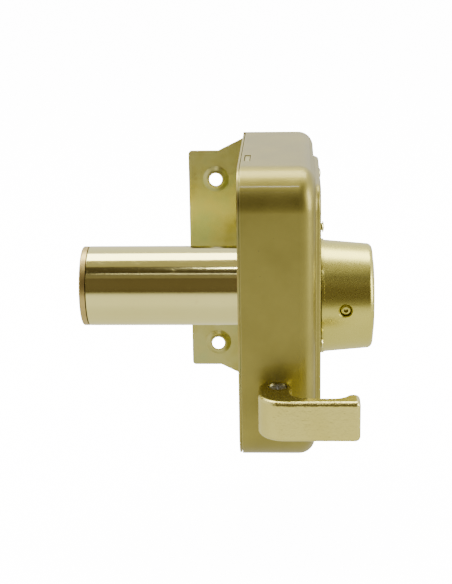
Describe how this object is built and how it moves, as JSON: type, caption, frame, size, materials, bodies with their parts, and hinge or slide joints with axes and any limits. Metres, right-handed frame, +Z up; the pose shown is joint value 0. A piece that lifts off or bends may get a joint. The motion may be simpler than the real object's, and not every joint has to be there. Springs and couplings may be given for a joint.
{
  "type": "surface-mounted door deadlock",
  "caption": "Surface-mounted door deadlock with a sliding bolt, a deadlocking trigger, key cylinders on both sides, an edge flange and a pull handle.",
  "frame": {"origin": "where the axis of the outside cylinder barrel meets the door's face", "axes": "+X through the door into the room, +Y the way the bolt throws, +Z up"},
  "size_m": [0.1273, 0.139, 0.127],
  "materials": {
    "satin_lacquer": "satin olive-gold lacquer over the sheet case",
    "yellow_plate": "steel with a yellow passivated zinc plating",
    "bright_brass": "mirror polished brass",
    "cast_brass": "cast brass, polished with a fine grain",
    "raw_brass": "plain machined brass",
    "zinc_steel": "zinc plated steel",
    "hard_steel": "hardened steel, ground",
    "spring_steel": "drawn spring wire"
  },
  "bodies": {
    "case": {"case_shell": "satin_lacquer", "back_plate": "yellow_plate", "edge_plate": "yellow_plate", "cover_post_near_upper": "bright_brass", "cover_post_near_lower": "bright_brass", "cover_post_far_upper": "bright_brass", "cover_post_far_lower": "bright_brass", "cover_screw_near_upper": "zinc_steel", "cover_screw_near_lower": "zinc_steel", "cover_screw_far_upper": "zinc_steel", "cover_screw_far_lower": "zinc_steel", "barrel": "bright_brass", "barrel_end_ring": "raw_brass", "barrel_screw_1": "zinc_steel", "barrel_screw_2": "zinc_steel", "inner_boss": "bright_brass", "boss_nut": "zinc_steel", "inner_cylinder_body": "raw_brass", "boss_retaining_screw": "raw_brass", "lever_pivot": "zinc_steel", "bolt_spring": "spring_steel", "trigger_spring": "spring_steel", "outer_driver_pin_1": "zinc_steel", "outer_driver_pin_2": "zinc_steel", "outer_driver_pin_3": "zinc_steel", "outer_driver_pin_4": "zinc_steel", "outer_pin_spring_1": "spring_steel", "outer_pin_spring_2": "spring_steel", "outer_pin_spring_3": "spring_steel", "outer_pin_spring_4": "spring_steel", "inner_driver_pin_1": "zinc_steel", "inner_driver_pin_2": "zinc_steel", "inner_driver_pin_3": "zinc_steel", "inner_driver_pin_4": "zinc_steel", "inner_pin_spring_1": "spring_steel", "inner_pin_spring_2": "spring_steel", "inner_pin_spring_3": "spring_steel", "inner_pin_spring_4": "spring_steel"},
    "bolt": {"bolt": "raw_brass"},
    "roller_1": {"bolt_roller_1": "hard_steel"},
    "roller_2": {"bolt_roller_2": "hard_steel"},
    "handle": {"pull_handle": "cast_brass", "handle_slide": "zinc_steel", "handle_screw": "zinc_steel"},
    "hub": {"crank_hub": "zinc_steel"},
    "outer_plug": {"outer_core": "raw_brass", "outer_tailpiece": "zinc_steel", "outer_key_pin_1": "raw_brass", "outer_key_pin_2": "raw_brass", "outer_key_pin_3": "raw_brass", "outer_key_pin_4": "raw_brass"},
    "inner_plug": {"inner_core": "raw_brass", "inner_tailpiece": "zinc_steel", "inner_key_pin_1": "raw_brass", "inner_key_pin_2": "raw_brass", "inner_key_pin_3": "raw_brass", "inner_key_pin_4": "raw_brass"},
    "trigger": {"trigger": "raw_brass"},
    "lever": {"deadlock_lever": "zinc_steel"}
  },
  "joints": [
    {"name": "bolt_slide", "type": "slide", "parent": "case", "child": "bolt", "axis": [0, -1, 0], "range_m": [0, 0.016], "stiffness_N_per_m": 600, "springref_m": -0.008, "deforming": ["bolt_spring"]},
    {"name": "bolt_roller_1_turn", "type": "hinge", "parent": "bolt", "child": "roller_1", "pos_m": [0.019, 0.052, 0.0043], "axis": [0, 1, 0], "continuous": true},
    {"name": "bolt_roller_2_turn", "type": "hinge", "parent": "bolt", "child": "roller_2", "pos_m": [0.019, 0.052, -0.0137], "axis": [0, 1, 0], "continuous": true},
    {"name": "handle_slide_pull", "type": "slide", "parent": "case", "child": "handle", "axis": [0, -1, 0], "range_m": [0, 0.016]},
    {"name": "crank_turn", "type": "hinge", "parent": "case", "child": "hub", "pos_m": [0.015, 0, -0.0047], "axis": [1, 0, 0], "range_deg": [0, 80.01]},
    {"name": "outer_plug_turn", "type": "hinge", "parent": "case", "child": "outer_plug", "pos_m": [-0.05, 0, -0.0047], "axis": [1, 0, 0], "range_deg": [0, 80.01]},
    {"name": "inner_plug_turn", "type": "hinge", "parent": "case", "child": "inner_plug", "pos_m": [0.045, 0, -0.0047], "axis": [1, 0, 0], "range_deg": [0, 80.01]},
    {"name": "trigger_slide", "type": "slide", "parent": "case", "child": "trigger", "axis": [0, -1, 0], "range_m": [0, 0.009], "stiffness_N_per_m": 400, "springref_m": -0.006, "deforming": ["trigger_spring"]},
    {"name": "lever_turn", "type": "hinge", "parent": "case", "child": "lever", "pos_m": [0.0227, -0.016, 0.0243], "axis": [-1, 0, 0], "range_deg": [0, 4]}
  ],
  "couplings": [
    {"joint": "handle_slide_pull", "follows": "bolt_slide", "ratio": 1},
    {"joint": "crank_turn", "follows": "bolt_slide", "rad_per_m": 87.266},
    {"joint": "outer_plug_turn", "follows": "bolt_slide", "rad_per_m": 87.266},
    {"joint": "inner_plug_turn", "follows": "bolt_slide", "rad_per_m": 87.266}
  ]
}
